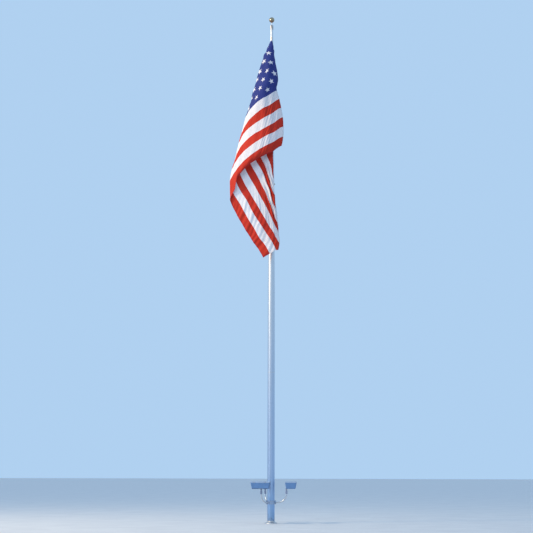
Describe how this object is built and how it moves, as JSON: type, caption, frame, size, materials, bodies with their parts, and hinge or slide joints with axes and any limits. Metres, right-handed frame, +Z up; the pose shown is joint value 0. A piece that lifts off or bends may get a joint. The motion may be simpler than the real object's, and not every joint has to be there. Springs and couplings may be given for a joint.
{
  "type": "flagpole with flag and base floodlights",
  "caption": "Tall tapered aluminium flagpole with a revolving truck, gold ball, limp striped flag, and floodlights on bent tube arms clamped near a spun base collar.",
  "frame": {"origin": "centre of the butt's flat underside, on the pole's axis at ground level", "axes": "+Z up along the pole; -Y is the side on which the flag hangs at rest and from which the picture looks; +X to the right of the picture"},
  "size_m": [2.4307, 1.82, 18.6795],
  "materials": {
    "shaft_lower": "satin brushed",
    "shaft_middle": "satin brushed",
    "shaft_upper": "satin brushed",
    "butt_plate": "satin brushed",
    "flash_collar": "satin brushed",
    "door_frame": "satin brushed",
    "access_door": "satin brushed",
    "collar_front": "cast, sandblasted",
    "collar_back": "cast, sandblasted",
    "clamp_bolts": "plated",
    "arm_right": "satin tube",
    "arm_front_left": "satin tube",
    "arm_back_left": "satin tube",
    "slipfitter_right": "die cast, painted grey",
    "slipfitter_front_left": "die cast, painted grey",
    "slipfitter_back_left": "die cast, painted grey",
    "pivot_bolts": "plated",
    "truck_base": "cast, sandblasted",
    "knuckle_right": "die cast, painted grey",
    "housing_right": "die cast, painted light grey",
    "lens_frame_right": "die cast, painted light grey",
    "lens_right": "clear tempered glass",
    "knuckle_front_left": "die cast, painted grey",
    "housing_front_left": "die cast, painted light grey",
    "lens_frame_front_left": "die cast, painted light grey",
    "lens_front_left": "clear tempered glass",
    "knuckle_back_left": "die cast, painted grey",
    "housing_back_left": "die cast, painted light grey",
    "lens_frame_back_left": "die cast, painted light grey",
    "lens_back_left": "clear tempered glass",
    "truck_body": "cast, sandblasted",
    "sheave": "moulded nylon",
    "sheave_pin": "plated",
    "finial_spindle": "turned",
    "ball_finial": "gold anodised",
    "halyard": "braided rope",
    "snap_top": "vinyl cover",
    "snap_bottom": "vinyl cover",
    "retainer_ring": "moulded beads",
    "counterweight": "vinyl covered iron",
    "flag": "woven polyester"
  },
  "bodies": {
    "pole": {"shaft_lower": "shaft_lower", "shaft_middle": "shaft_middle", "shaft_upper": "shaft_upper", "butt_plate": "butt_plate", "flash_collar": "flash_collar", "door_frame": "door_frame", "access_door": "access_door", "collar_front": "collar_front", "collar_back": "collar_back", "clamp_bolts": "clamp_bolts", "arm_right": "arm_right", "arm_front_left": "arm_front_left", "arm_back_left": "arm_back_left", "slipfitter_right": "slipfitter_right", "slipfitter_front_left": "slipfitter_front_left", "slipfitter_back_left": "slipfitter_back_left", "pivot_bolts": "pivot_bolts", "truck_base": "truck_base"},
    "light_right": {"knuckle_right": "knuckle_right", "housing_right": "housing_right", "lens_frame_right": "lens_frame_right", "lens_right": "lens_right"},
    "light_front_left": {"knuckle_front_left": "knuckle_front_left", "housing_front_left": "housing_front_left", "lens_frame_front_left": "lens_frame_front_left", "lens_front_left": "lens_front_left"},
    "light_back_left": {"knuckle_back_left": "knuckle_back_left", "housing_back_left": "housing_back_left", "lens_frame_back_left": "lens_frame_back_left", "lens_back_left": "lens_back_left"},
    "truck": {"truck_body": "truck_body", "sheave": "sheave", "sheave_pin": "sheave_pin", "finial_spindle": "finial_spindle", "ball_finial": "ball_finial", "halyard": "halyard", "snap_top": "snap_top", "snap_bottom": "snap_bottom", "retainer_ring": "retainer_ring", "counterweight": "counterweight", "flag": "flag"}
  },
  "joints": [
    {"name": "tilt_right", "type": "hinge", "parent": "pole", "child": "light_right", "pos_m": [0.54069, -0.07599, 1.165], "axis": [0, 1, 0], "range_deg": [-30, 60]},
    {"name": "tilt_front_left", "type": "hinge", "parent": "pole", "child": "light_front_left", "pos_m": [-0.33615, -0.43025, 1.165], "axis": [0.9903, -0.1392, 0], "range_deg": [-30, 60]},
    {"name": "tilt_back_left", "type": "hinge", "parent": "pole", "child": "light_back_left", "pos_m": [-0.20453, 0.50624, 1.165], "axis": [-0.9272, -0.3746, 0], "range_deg": [-30, 60]},
    {"name": "truck_swivel", "type": "hinge", "parent": "pole", "child": "truck", "pos_m": [0, 0, 18.244], "axis": [0, 0, 1], "continuous": true}
  ]
}
